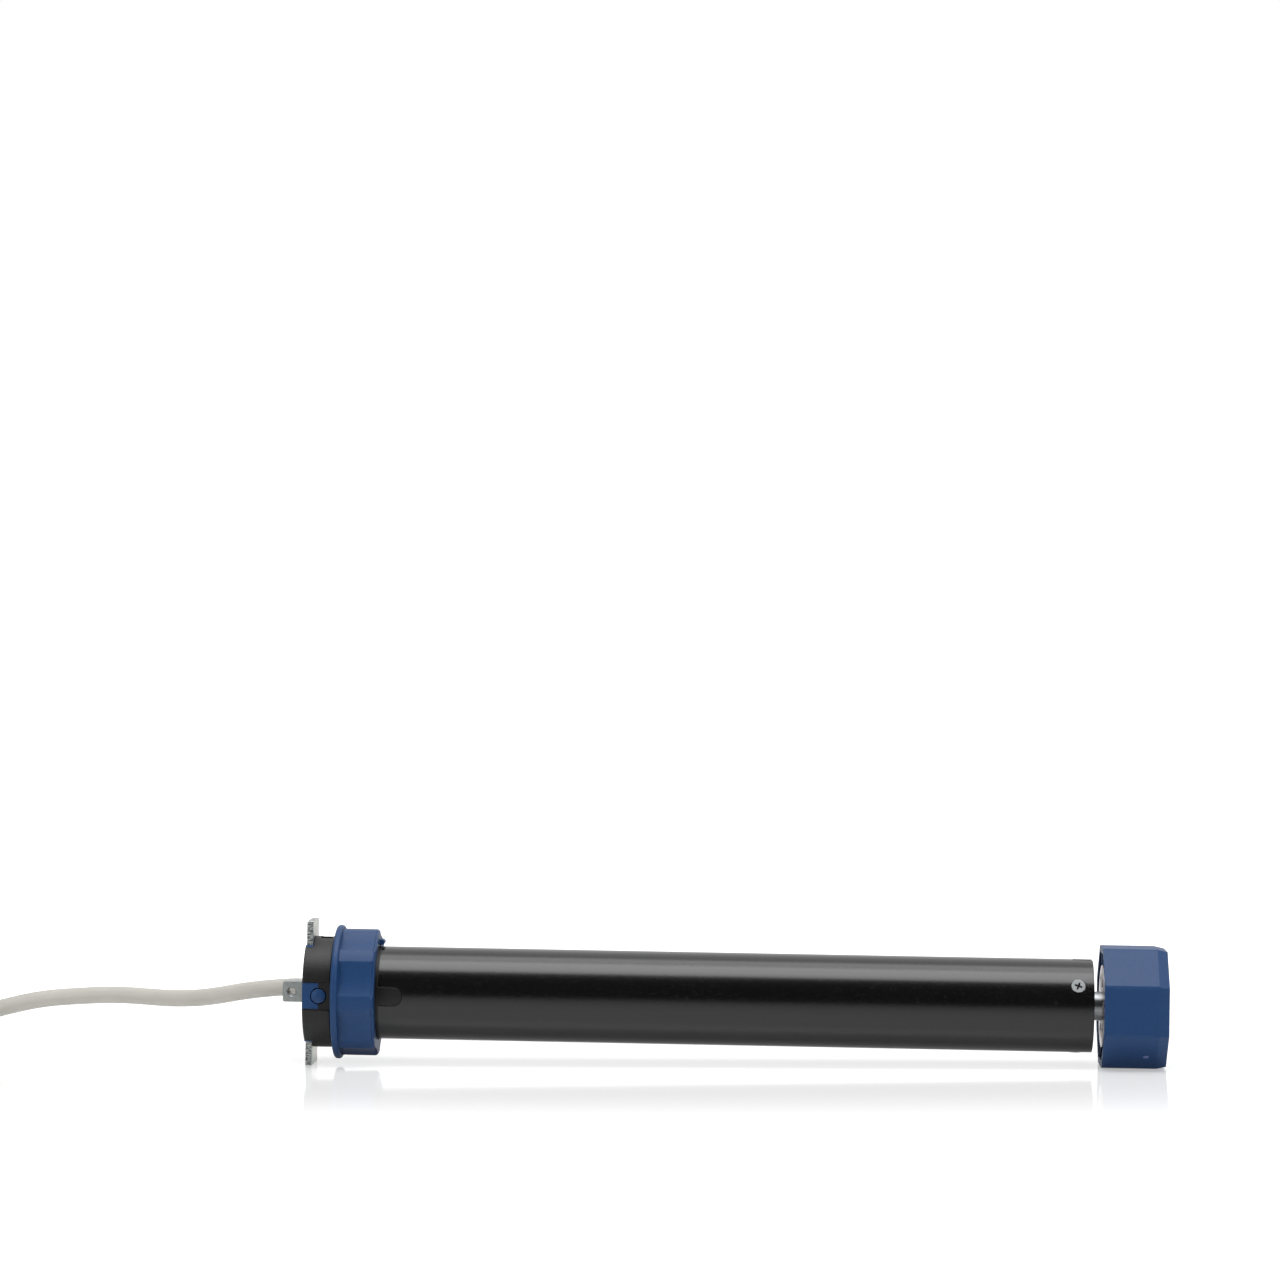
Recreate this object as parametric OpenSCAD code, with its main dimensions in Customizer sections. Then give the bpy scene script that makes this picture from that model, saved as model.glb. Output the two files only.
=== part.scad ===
/* [Square pin and bearing plate] */
// Side of the square pin
pin_side = 10; // [9:0.5:11]
// How far the pin stands out of the head
pin_out = 12; // [10:0.5:18]
// Cross hole for the split pin
pin_hole_d = 4; // [3:0.5:5]
// Centre of the cross hole, from the pin's end
pin_hole_in = 4.5; // [4:0.25:6]
// Width of the bearing plate
plate_w = 24; // [20:0.5:26]
// Height of the bearing plate over both lugs
plate_h = 70; // [64:1:76]
// Thickness of the bearing plate
plate_t = 3; // [2:0.25:3.5]
// How deep the plate lies in the head's face
plate_sink = 0.5; // [0.2:0.1:1]
/* [Head] */
// Diameter of the head's disc
head_d = 54; // [53:0.5:58]
// Thickness of the head's disc
head_t = 13.8; // [13.4:0.2:16]
// Thickness of the cross-shaped carrier
carrier_t = 7.9; // [7.5:0.1:8.4]
// Width of the carrier's upright arm
carrier_w = 29; // [28:0.25:30]
// Height of the carrier's front arm
patch_h = 12.5; // [11:0.25:14]
// Diameter of the release button
button_d = 7; // [6:0.25:7.5]
// Travel of the release button
button_travel = 1.6; // [1:0.1:2]
// Diameter of the journal that the crown turns on
journal_d = 46; // [45.5:0.1:46.4]
// Visible collar between the crown and the tube
collar_l = 1.5; // [1:0.1:3]
// Length of the plug that reaches into the tube
plug_l = 30; // [28:1:34]
// Width of the tongue that keys the tube
tongue_w = 8.7; // [7:0.1:10]
// Length of the tongue over the tube's end
tongue_l = 11.5; // [9:0.5:14]
/* [Crown ring] */
// Diameter of the crown's flange
flange_d = 65; // [63:0.5:70]
// Thickness of the crown's flange
flange_t = 3.4; // [3:0.1:4]
// Length of the whole crown
crown_l = 20.7; // [20:0.1:24]
// Diameter over the crown's ridges
ridge_d = 61.6; // [60.6:0.2:62.6]
// Diameter at the middle of the scoops
scoop_d = 57; // [56:0.2:58]
// Half the angle that a ridge's land spans
land_half = 6.2; // [4:0.1:8]
// Angle of a ridge below the front
crown_turn = 5.2; // [0:0.1:10]
/* [Tube] */
// Outer diameter of the motor tube
tube_d = 45; // [44.6:0.1:45]
// Wall of the motor tube
tube_wall = 1; // [0.8:0.05:1.2]
// Length of the motor tube
tube_l = 345; // [343:1:500]
/* [Gearbox] */
// Module of the gearbox teeth
gear_module = 0.7; // [0.68:0.005:0.7]
// Teeth on each sun
sun_teeth = 12; // [12:1:12]
// Teeth on each planet
planet_teeth = 21; // [21:1:21]
// Thinning of each tooth flank
flank_play = 0.09; // [0.08:0.01:0.12]
// Diameter of the planet pins
planet_pin_d = 3; // [2.6:0.1:3.4]
// Face width of the first planets
planet_l1 = 10; // [8:0.5:11]
// Face width of the second planets
planet_l2 = 12; // [10:0.5:13]
// Face width of the last planets
planet_l3 = 16; // [14:0.5:17]
// Length of the gearbox cover
cover_l = 19.5; // [19:0.5:22]
// Diameter of the output shaft
shaft_d = 14; // [13:0.25:15]
/* [Motor] */
// Diameter of the rotor shaft
rotor_shaft_d = 6; // [5.4:0.1:6.4]
// Diameter of the rotor
rotor_d = 21.4; // [20:0.2:21.6]
// Length of the stator's laminations
stator_l = 44; // [38:1:46]
// Length of the brake housing
brake_l = 28; // [26:0.5:30]
// Air gap that the brake plate crosses
brake_air = 0.5; // [0.4:0.05:0.7]
/* [Electronics] */
// Length of the circuit board
board_l = 84; // [70:1:86]
// Width of the circuit board
board_w = 30; // [26:1:32]
// Diameter of the run capacitor
capacitor_d = 30; // [26:1:31]
// Length of the run capacitor
capacitor_l = 46; // [36:1:48]
/* [Drive wheel] */
// Drive wheel across its flats
wheel_af = 57.5; // [56.5:0.1:58]
// Length of the drive wheel
wheel_l = 31; // [28:0.5:36]
// Gap between the tube and the drive wheel
wheel_gap = 4.4; // [3:0.2:7]
// Wall of the drive wheel
wheel_wall = 3; // [2.4:0.1:3.6]
// Length of the taper at the outer end
taper_l = 5; // [4:0.1:6.5]
// Drop of the taper
taper_drop = 1.1; // [0.8:0.05:1.6]
// Key of the output shaft across its flats
hex_af = 10; // [9:0.25:11]
/* [Cable] */
// Diameter of the cable
cable_d = 8.4; // [7.4:0.2:8.6]
// Place of the cable behind the motor's axis
cable_y = 20.5; // [20.3:0.1:20.9]
// Outer radius of the coil, at the cable's middle
coil_r = 54; // [50:1:60]
// Turns in each layer of the coil
coil_turns = 2; // [2:1:2]
// Layers of the coil
coil_layers = 4; // [2:2:4]

/* [Hidden] */
$fn = 64;

// Clearances: running fits, fits that slide, axial play, and the reach of a cut past its face
run_gap = 0.05;
fit_gap = 0.1;
slide_gap = 0.3;
play = 0.4;
over = 1;

// Colours
blue = [0.13, 0.24, 0.45];
black = [0.09, 0.09, 0.1];
zinc = [0.62, 0.64, 0.65];
steel = [0.5, 0.52, 0.54];
copper = [0.72, 0.4, 0.2];
grey = [0.78, 0.77, 0.74];
green = [0.1, 0.35, 0.2];
white = [0.9, 0.9, 0.88];

// Places along the motor's axis, from the end face of the pin
head_x = pin_out;
plate_x0 = head_x + plate_sink;
plate_x1 = plate_x0 + plate_t;
disc_x1 = head_x + head_t;
crown_x0 = disc_x1 + slide_gap;
crown_x1 = crown_x0 + crown_l;
flange_x1 = crown_x0 + flange_t;
journal_x1 = crown_x1 - slide_gap;
tube_x0 = crown_x1 + collar_l;
tube_x1 = tube_x0 + tube_l;
plug_x1 = tube_x0 + plug_l;
wheel_x0 = tube_x1 + wheel_gap;
wheel_x1 = wheel_x0 + wheel_l;
taper_x0 = wheel_x1 - taper_l;

// Radii of the tube and of what stands in it
tube_r = tube_d / 2;
tube_bore_r = tube_r - tube_wall;
inner_r = tube_bore_r - fit_gap;
journal_r = journal_d / 2;
crown_bore_r = journal_r + run_gap * 2;

// The head's hollows and the wall that carries the pinion
pocket_x1 = head_x + carrier_t + slide_gap;
hollow_x0 = disc_x1 + 2.2;
wall_x1 = journal_x1 - 1.5;
wall_x0 = wall_x1 - 3;
hollow_r = 20;
plug_hollow_r = 19;
edge = 0.6;

// The flat on the head's front, sunk a little below the round surface beside it
flat_half = patch_h / 2 + slide_gap * 2;
flat_sink = 0.35;
carrier_middle = 17;

// The release button's hole, with its floor behind the spring, which the button's travel shortens
button_y = -sqrt(pow(head_d / 2, 2) - pow(flat_half, 2)) + flat_sink;
button_l = 5.6;
button_proud = 0.8;
spring_wire_r = 0.4;
button_spring_turns = 4;
button_spring_l = 2 * spring_wire_r * button_spring_turns + button_travel + fit_gap;
button_floor = button_y + button_l + button_spring_l + fit_gap;
button_x = head_x + carrier_t;

// Crown teeth and the pinion that counts its turns
crown_module = 0.8;
crown_teeth = 60;
pinion_teeth = 24;
pinion_c = (crown_teeth - pinion_teeth) * crown_module / 2;
pinion_x0 = wall_x0 - 5.4;
pinion_x1 = wall_x0 - play;
pinion_shaft_r = 1.5;
pinion_shaft_x0 = hollow_x0 - 4;
encoder_r = 4.2;
encoder_x0 = wall_x1 + 3;
encoder_x1 = encoder_x0 + 3.5;

// Gearbox, from its cover back to its first plate
ring_teeth = sun_teeth + 2 * planet_teeth;
planet_c = (sun_teeth + planet_teeth) * gear_module / 2;
cover_x1 = tube_x1 - 0.5;
cover_x0 = cover_x1 - cover_l;
disc3_x1 = cover_x0 - play;
disc3_x0 = disc3_x1 - 4.5;
planet3_x1 = disc3_x0 - play;
planet3_x0 = planet3_x1 - planet_l3;
disc2_x1 = planet3_x0 - play;
disc2_x0 = disc2_x1 - 3;
planet2_x1 = disc2_x0 - play;
planet2_x0 = planet2_x1 - planet_l2;
disc1_x1 = planet2_x0 - play;
disc1_x0 = disc1_x1 - 3;
planet1_x1 = disc1_x0 - play;
planet1_x0 = planet1_x1 - planet_l1;
box_x1 = planet1_x0 - play;
box_x0 = box_x1 - 3;
carrier_r = planet_c + planet_pin_d / 2 + 2.4;
pin_r = planet_pin_d / 2;

// Brake and motor, from the gearbox back to the rear shield
brake_x1 = box_x0 - fit_gap;
brake_x0 = brake_x1 - brake_l;
magnet_x0 = brake_x0 + 1.5;
magnet_x1 = magnet_x0 + 12;
brake_plate_x0 = magnet_x1 + brake_air;
brake_plate_x1 = brake_plate_x0 + 2;
brake_disc_x0 = brake_plate_x1 + fit_gap;
magnet_r = inner_r - 1.4;
rotor_r = rotor_d / 2;
axle_r = rotor_shaft_d / 2;
shield_t = 8;
turns_t = 6;
front_x1 = brake_x0 - fit_gap;
front_x0 = front_x1 - shield_t;
stator_x1 = front_x0 - turns_t - slide_gap;
stator_x0 = stator_x1 - stator_l;
rear_x1 = stator_x0 - turns_t - slide_gap;
rear_x0 = rear_x1 - shield_t;
stator_bore_r = 11;
slots = 12;
slot_w = 3;
slot_r0 = 12;
slot_r1 = 18;
bearing_w = 6;
bearing_r = 8.5;

// Electronics between the plug and the rear shield
tray_x0 = plug_x1 + slide_gap;
tray_x1 = rear_x0 - slide_gap;
tray_wall = 2;
tray_r = inner_r - fit_gap;
board_x0 = tray_x0 + 2;
board_z = -5.2;
board_t = 1.6;
capacitor_z = -(tray_r - tray_wall - capacitor_d / 2 - slide_gap);

// Cover screws: distance from the tube's end and angles from the front
screw_x = tube_x1 - 7.7;
screw_angles = [30, 150, 270];
screw_head_r = 3.35;
screw_r = 1.75;
screw_head_l = 1.6;
screw_l = 7;
cross_l = 3.8;
cross_w = 0.95;
cross_deep = 1.3;
output_bearing_r = 13;
output_bearing_w = 8.5;
key_l = 9.5;
key_w = 6.4;
key_rise = 0.5;

// Drive wheel
flat_r = wheel_af / 2;
wheel_corner_r = flat_r / cos(22.5) - 0.3;
insert_r = 19.75;
insert_x0 = wheel_x0 + 0.4;
insert_x1 = insert_x0 + 1.8;
web_x1 = wheel_x1 - 3.7;
web_x0 = web_x1 - 4;
hub_r = 10;
shaft_r = shaft_d / 2;
end_r = 4.2;
clip_x0 = web_x1 + 0.6;
clip_t = 0.9;

// The surface that the motor lies on touches the lower lug and the drive wheel's flat
floor_tilt = atan((plate_h / 2 - flat_r) / (taper_x0 - plate_x1));
function floor_z(x) = (x - plate_x1) * tan(floor_tilt) - plate_h / 2;

// Cable: its exit from the gland, the coil's place, and the route between, chosen by hand
cable_r = cable_d / 2;
gland_x0 = head_x - 2;
gland_x1 = head_x + 6;
gland_r = 5.6;
entry_x1 = head_x + 12.2;
coil_x = -240;
coil_y = 10;
coil_pitch = cable_d + 0.8;
coil_layer = cable_d + 0.5;
coil_sides = 6;
coil_steps = 24;
coil_loops = coil_turns * coil_layers;
coil_start = [coil_x + cable_d * cos(floor_tilt) - cable_r * sin(floor_tilt),
              coil_y + coil_r,
              floor_z(coil_x) + cable_r * cos(floor_tilt) + cable_d * sin(floor_tilt)];
route = [[gland_x0, cable_y, 0], [gland_x0 - cable_r, cable_y, 0], [gland_x0 - cable_d, cable_y, 0],
         [-12, 24, -1.5], [-24, 28, -3.5], [-36, 32, -6], [-48, 37, -8], [-62, 43, -9], [-75, 49, -9],
         [-88, 54, -9], [-106, 59, -10], [-132, 63, -13], [-160, 65, -20], [-188, 65, -28],
         [-212, 64.5, -32.5], coil_start + [12, 0, 12 * tan(floor_tilt)]];
route_steps = 3;
route_sides = 10;

// A profile of [radius, x] points turned about the motor's axis
module along_x(x) { translate([x, 0, 0]) rotate([90, 0, 90]) children(); }
module turned(points) { along_x(0) rotate_extrude() polygon(points); }
module rod(x0, x1, r) { along_x(x0) cylinder(h = x1 - x0, r = r); }
module pipe(x0, x1, r, bore) {
    difference() {
        rod(x0, x1, r);
        rod(x0 - over, x1 + over, bore);
    }
}
module block(x, y, z) { translate([x[0], y[0], z[0]]) cube([x[1] - x[0], y[1] - y[0], z[1] - z[0]]); }
// Turns what stands at the front, the -Y side, up by an angle about the motor's axis
module from_front(angle) { rotate([-angle, 0, 0]) children(); }
function arc(c, r, a0, a1, n) = [for (i = [0:n]) let (a = a0 + (a1 - a0) * i / n) c + r * [cos(a), sin(a)]];

// Involute teeth: the half angle of a tooth at a radius, and the outline of a gear
pressure = 20;
function involute(c) = tan(acos(c)) * 180 / PI - acos(c);
function tooth_half(z, m, r, extra) =
    let (pitch_r = z * m / 2, base_r = pitch_r * cos(pressure))
    90 / z + extra / pitch_r * 180 / PI + involute(cos(pressure)) - involute(base_r / max(r, base_r));
function gear_outline(z, m, root, tip, extra) =
    [for (i = [0:z - 1], j = [0:5])
        let (k = j < 3 ? j : 5 - j, side = j < 3 ? -1 : 1, r = root + (tip - root) * k / 2,
             a = 360 * i / z + side * tooth_half(z, m, r, extra))
        r * [cos(a), sin(a)]];
module outer_gear(x0, x1, z, m) {
    pitch_r = z * m / 2;
    along_x(x0) linear_extrude(x1 - x0)
        polygon(gear_outline(z, m, pitch_r - 1.15 * m, pitch_r + 0.85 * m, -flank_play));
}
// The space that an inner gear's teeth leave, to be cut out of its ring
module inner_gear_space(x0, x1, z, m) {
    pitch_r = z * m / 2;
    along_x(x0) linear_extrude(x1 - x0)
        polygon(gear_outline(z, m, pitch_r - 0.85 * m, pitch_r + 1.15 * m, flank_play));
}

// A tube swept along points, with flat ends; the first corner of each ring points up
function unit(v) = v / norm(v);
function along(p, i) = unit(p[min(i + 1, len(p) - 1)] - p[max(i - 1, 0)]);
function ring(p, i, r, sides) =
    let (t = along(p, i), side = unit(cross(t, [0.001, 0.002, 1])), up = cross(side, t))
    [for (k = [0:sides - 1]) p[i] + r * (cos(360 * k / sides) * up + sin(360 * k / sides) * side)];
module sweep(p, r, sides) {
    n = len(p);
    points = [for (i = [0:n - 1]) each ring(p, i, r, sides)];
    walls = [for (i = [0:n - 2], k = [0:sides - 1])
        let (a = i * sides + k, b = i * sides + (k + 1) % sides)
        each [[a, b, a + sides], [b, b + sides, a + sides]]];
    first = [for (k = [1:sides - 2]) [0, k + 1, k]];
    last = [for (k = [1:sides - 2]) [(n - 1) * sides, (n - 1) * sides + k, (n - 1) * sides + k + 1]];
    polyhedron(points = points, faces = concat(walls, first, last));
}
// A smooth curve through hand-chosen points
function between(a, b, c, d, t) =
    0.5 * (2 * b + (c - a) * t + (2 * a - 5 * b + 4 * c - d) * t * t + (3 * b - a - 3 * c + d) * t * t * t);
function smooth(p, n) =
    concat([for (i = [0:len(p) - 2], j = [0:n - 1])
        between(p[max(i - 1, 0)], p[i], p[i + 1], p[min(i + 2, len(p) - 1)], j / n)],
        [p[len(p) - 1]]);
// A spring's or winding's middle line, turning about Z
function helix(r, z0, z1, turns, steps) =
    [for (i = [0:turns * steps]) let (a = 360 * i / steps)
        [r * cos(a), r * sin(a), z0 + (z1 - z0) * i / (turns * steps)]];
function helix_ring(p, i, r, sides) =
    let (t = along(p, i), side = unit(cross(t, [p[i][0], p[i][1], 0])), out = cross(side, t))
    [for (k = [0:sides - 1]) p[i] + r * (cos(360 * k / sides) * out + sin(360 * k / sides) * side)];
module spring(r, wire_r, z0, z1, turns) {
    steps = 12;
    sides = 6;
    p = helix(r, z0 + wire_r, z1 - wire_r, turns, steps);
    n = len(p);
    points = [for (i = [0:n - 1]) each helix_ring(p, i, wire_r, sides)];
    walls = [for (i = [0:n - 2], k = [0:sides - 1])
        let (a = i * sides + k, b = i * sides + (k + 1) % sides)
        each [[a, a + sides, b], [b, a + sides, b + sides]]];
    first = [for (k = [1:sides - 2]) [0, k, k + 1]];
    last = [for (k = [1:sides - 2]) [(n - 1) * sides, (n - 1) * sides + k + 1, (n - 1) * sides + k]];
    polyhedron(points = points, faces = concat(walls, first, last));
}

// The coil's middle line: it spirals in and out, and climbs a layer where it reverses
function coil_swing(t) = let (u = t % (2 * coil_turns)) u < coil_turns ? u : 2 * coil_turns - u;
function coil_level(t) =
    let (n = round(t / coil_turns), near = t - n * coil_turns)
    n < 1 || n > coil_layers - 1 ? floor(t / coil_turns - 0.001 * sign(t))
    : n - 1 + min(1, max(0, 2 * near + 0.5));
function coil_at(t) =
    let (r = coil_r - coil_pitch * coil_swing(t), a = 90 + 360 * t)
    [r * cos(a), r * sin(a), cable_r + coil_layer * max(0, min(coil_layers - 1, coil_level(t)))];
coil_line = concat([[cable_d, coil_r, cable_r]],
    [for (i = [0:coil_loops * coil_steps]) coil_at(i / coil_steps)],
    [[-cable_d, coil_r, cable_r + coil_layer * (coil_layers - 1)]]);
coil_gap = min([for (i = [0:len(coil_line) - 1], j = [i + coil_steps / 2:1:len(coil_line) - 1])
    norm(coil_line[i] - coil_line[j])]) - cable_d;
echo(coil_gap = coil_gap);
module on_floor() { translate([coil_x, coil_y, floor_z(coil_x)]) rotate([0, -floor_tilt, 0]) children(); }

// The space of the carrier in the head: a thick middle, a front arm as thick, and an upright arm
// only as thick as the plate lies deep
module carrier_space(gap) {
    arm = carrier_w / 2 + gap;
    patch = patch_h / 2 + gap;
    middle = carrier_middle + gap;
    back = head_x + carrier_t + gap;
    block([head_x - over, plate_x1 + slide_gap + gap], [-arm, arm], [-head_d, head_d]);
    block([head_x - over, back], [-arm, arm], [-middle, middle]);
    block([head_x - over, back], [-head_d, 0], [-patch, patch]);
}
module button_space(r) {
    translate([button_x, button_floor, 0]) rotate([90, 0, 0]) cylinder(h = head_d, r = r);
}
module at_pinion() { translate([0, 0, -pinion_c]) children(); }

module motor_head() {
    head_r = head_d / 2;
    color(black) difference() {
        union() {
            turned([[0, head_x], [head_r - edge, head_x], [head_r, head_x + edge],
                    [head_r, disc_x1 - edge], [head_r - edge, disc_x1], [journal_r, disc_x1],
                    [journal_r, journal_x1], [tube_r, journal_x1], [tube_r, tube_x0],
                    [inner_r, tube_x0], [inner_r, plug_x1], [0, plug_x1]]);
            tongue();
        }
        carrier_space(slide_gap / 2);
        block([head_x - over, disc_x1 + over], [-head_d, button_y], [-flat_half, flat_half]);
        button_space(button_d / 2 + 0.5);
        translate([0, cable_y, 0]) rod(head_x - over, gland_x1 + fit_gap, gland_r + fit_gap);
        translate([0, cable_y, 0]) rod(head_x, entry_x1, cable_r + fit_gap);
        block([entry_x1 - over, hollow_x0 + over], [cable_y - cable_r - 6, cable_y - 0.8], [-4.6, 4.6]);
        rod(hollow_x0, wall_x0, hollow_r);
        rod(wall_x1, plug_x1 + over, plug_hollow_r);
        block([wall_x0 - over, wall_x1 + over], [12, 18], [-5, 5]);
        at_pinion() rod(pinion_shaft_x0, wall_x1 + over, pinion_shaft_r + run_gap);
        at_pinion() rod(pinion_x0 - play, wall_x0, pinion_teeth * crown_module / 2 + 1.4);
        block([disc_x1 - 7.2, disc_x1 - 1.6], [-6, 6], [head_r - 1.4, head_r + over]);
    }
}
// The tongue that stands in the tube's slot, with a round end
module tongue() {
    reach = tongue_l - tongue_w / 2;
    intersection() {
        union() {
            block([tube_x0 - over, tube_x0 + reach], [-tube_r, -plug_hollow_r], [-tongue_w / 2, tongue_w / 2]);
            translate([tube_x0 + reach, 0, 0]) rotate([90, 0, 0]) cylinder(h = tube_r, d = tongue_w);
        }
        pipe(tube_x0 - over, tube_x0 + tongue_l, tube_r, plug_hollow_r + 1);
    }
}
module tube() {
    slot_w = tongue_w + 2 * slide_gap;
    reach = tongue_l - tongue_w / 2;
    color(black) difference() {
        pipe(tube_x0, tube_x1, tube_r, tube_bore_r);
        block([tube_x0 - over, tube_x0 + reach], [-tube_d, 0], [-slot_w / 2, slot_w / 2]);
        translate([tube_x0 + reach, 0, 0]) rotate([90, 0, 0]) cylinder(h = tube_d, d = slot_w);
        block([tube_x1 - key_l, tube_x1 + over], [-key_w / 2, key_w / 2], [0, tube_d]);
        screws(run_gap);
    }
}
module bearing_plate() {
    round_r = 0.6;
    y = plate_w / 2 - round_r;
    z = plate_h / 2 - round_r;
    color(zinc) difference() {
        union() {
            block([plate_x0, plate_x1], [-plate_w / 2, plate_w / 2], [-z, z]);
            block([plate_x0, plate_x1], [-y, y], [-plate_h / 2, plate_h / 2]);
            for (a = [-y, y], b = [-z, z]) translate([0, a, b]) rod(plate_x0, plate_x1, round_r);
        }
        block([plate_x0 - over, plate_x1 + over],
              [-pin_side / 2 - run_gap, pin_side / 2 + run_gap], [-pin_side / 2 - run_gap, pin_side / 2 + run_gap]);
    }
}
module square_pin() {
    half = pin_side / 2;
    back = plate_x1 + 1.5;
    cut = 0.7;
    sink = 0.4;
    color(zinc) difference() {
        block([0, back], [-half, half], [-half, half]);
        translate([pin_hole_in, pin_side, 0]) rotate([90, 0, 0]) cylinder(h = 2 * pin_side, d = pin_hole_d);
        for (side = [-1, 1]) translate([pin_hole_in, side * (half - sink), 0]) rotate([-90 * side, 0, 0])
            cylinder(h = over, r1 = pin_hole_d / 2, r2 = pin_hole_d / 2 + over);
        for (a = [0:90:270]) rotate([a, 0, 0]) translate([cut, half, 0]) rotate([0, 0, 135])
            translate([0, 0, -pin_side]) cube([pin_side, pin_side, 2 * pin_side]);
    }
}
module plate_carrier() {
    half = pin_side / 2 + fit_gap;
    color(blue) difference() {
        intersection() {
            carrier_space(0);
            rod(head_x, head_x + carrier_t, head_d / 2 - edge);
            block([head_x, head_x + carrier_t], [button_y + 0.2, head_d], [-head_d, head_d]);
        }
        block([head_x - over, plate_x1 + fit_gap], [-plate_w / 2 - fit_gap, plate_w / 2 + fit_gap],
              [-head_d, head_d]);
        block([head_x, plate_x1 + 1.5 + fit_gap], [-half, half], [-half, half]);
        button_space(button_d / 2 + 0.5);
    }
}
module release_button() {
    dome_r = 9;
    color(blue) translate([button_x, button_y, 0]) rotate([90, 0, 0]) intersection() {
        translate([0, 0, -button_l]) cylinder(h = button_l + button_proud, d = button_d);
        translate([0, 0, button_proud - dome_r]) sphere(r = dome_r);
    }
}
module button_spring() {
    color(steel) translate([button_x, button_floor, 0]) rotate([90, 0, 0])
        spring(button_d / 2 - 0.9, spring_wire_r, fit_gap, button_spring_l, button_spring_turns);
}
module crown_ring() {
    flange_r = flange_d / 2;
    ridge_r = ridge_d / 2;
    scoop_r = scoop_d / 2;
    round_r = 1.3;
    cut = 0.8;
    chord = ridge_r * sin(22.5 - land_half);
    sag = ridge_r * cos(22.5 - land_half) - scoop_r;
    hollow = (chord * chord + sag * sag) / (2 * sag);
    color(blue) difference() {
        union() {
            turned(concat([[journal_r - over, crown_x0]],
                arc([flange_r - round_r, crown_x0 + round_r], round_r, -90, 0, 4),
                arc([flange_r - round_r, flange_x1 - round_r], round_r, 0, 90, 4),
                [[journal_r - over, flange_x1]]));
            difference() {
                turned([[journal_r - over, crown_x0 + over], [ridge_r, crown_x0 + over],
                        [ridge_r, crown_x1 - cut], [ridge_r - cut, crown_x1], [journal_r - over, crown_x1]]);
                for (k = [0:7]) from_front(45 * k + 22.5 - crown_turn) translate([0, -scoop_r - hollow, 0]) {
                    rod(flange_x1 - over, crown_x1 + over, hollow);
                    rod(crown_x1 - 1.2, crown_x1 + over, hollow + 0.5);
                }
            }
            snap_lug();
        }
        rod(crown_x0 - over, crown_x1 + over + collar_l, crown_bore_r);
        inner_gear_space(pinion_x0 - play, pinion_x1 + play, crown_teeth, crown_module);
    }
}
// A small round-nosed hook on the crown's end, at the top
module snap_lug() {
    nose_r = 1.3;
    root = crown_bore_r + 0.3;
    intersection() {
        union() {
            block([crown_x1 - over, crown_x1 + nose_r], [-3, 3], [root, root + 2 * nose_r]);
            translate([crown_x1 + nose_r, 3, root + nose_r]) rotate([90, 0, 0]) cylinder(h = 6, r = nose_r);
        }
        pipe(crown_x1 - over, crown_x1 + 2 * nose_r + over, ridge_d / 2 - over, crown_bore_r);
    }
}
module encoder_pinion() {
    color(white) at_pinion() union() {
        outer_gear(pinion_x0, pinion_x1, pinion_teeth, crown_module);
        rod(pinion_shaft_x0 + fit_gap, encoder_x1 + 1, pinion_shaft_r);
    }
}
module encoder_wheel() { color(black) at_pinion() pipe(encoder_x0, encoder_x1, encoder_r, pinion_shaft_r + 0.02); }
module cable_gland() {
    color(black) translate([0, cable_y, 0]) difference() {
        turned([[cable_r + fit_gap, gland_x0], [gland_r - 1.2, gland_x0], [gland_r, gland_x0 + 1.2],
                [gland_r, gland_x1], [cable_r + fit_gap, gland_x1]]);
    }
}
module cable_entry() { color(grey) translate([0, cable_y, 0]) rod(gland_x0, entry_x1 - fit_gap, cable_r); }
module cable_free() { color(grey) sweep(concat(smooth(route, route_steps), [coil_start]), cable_r, route_sides); }
module cable_coil() { color(grey) on_floor() sweep(coil_line, cable_r, coil_sides); }
// Four stripped cores at the cable's far end, each with its ferrule
module cable_cores() {
    core_r = 1.1;
    spread = 1.7;
    reach = 30;
    top = cable_r + coil_layer * (coil_layers - 1);
    on_floor() for (k = [0:3]) {
        y = (k % 2 - 0.5) * 2 * spread;
        z = (floor(k / 2) - 0.5) * 2 * spread;
        translate([-cable_d, coil_r + y, top + z]) rotate([0, -90, 0]) rotate([-4 * sign(y), 0, 0]) {
            color(k == 0 ? green : grey) cylinder(h = reach, r = core_r);
            color(zinc) translate([0, 0, reach]) cylinder(h = 8, r = 0.8);
        }
    }
}
// Insulated leads from the cable's end to the terminals on the board
module lead_wires() {
    lead_r = 0.8;
    lead_pitch = 1.7;
    bend = [hollow_x0 + 6, 15];
    color(copper) for (k = [-1.5:1:1.5]) translate([0, 0, lead_pitch * k]) {
        start = [entry_x1 + 1.2, cable_y - 2];
        run = bend - start;
        translate([0, start[1], 0]) rod(entry_x1, start[0], lead_r);
        translate([start[0], start[1], 0]) sphere(r = lead_r + run_gap);
        translate([start[0], start[1], 0]) rotate([0, 0, atan2(run[1], run[0])]) rod(0, norm(run), lead_r);
        translate([bend[0], bend[1], 0]) sphere(r = lead_r + run_gap);
        translate([0, bend[1], 0]) rod(bend[0], board_x0 + 1.5, lead_r);
    }
}
module board_tray() {
    rail = board_w / 2 - 2.5;
    color(white) difference() {
        union() {
            pipe(tray_x0, tray_x1, tray_r, tray_r - tray_wall);
            intersection() {
                rod(tray_x0, tray_x1, tray_r - over);
                for (side = [-1, 1]) scale([1, side, 1])
                    block([board_x0, board_x0 + board_l], [rail, head_d], [board_z - 2, board_z]);
            }
        }
        block([tray_x0 - over, tray_x1 + over], [-tube_d, tube_d], [0, tube_d]);
    }
}
module circuit_board() {
    color(green) block([board_x0, board_x0 + board_l], [-board_w / 2, board_w / 2],
                       [board_z + run_gap, board_z + board_t]);
}
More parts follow.
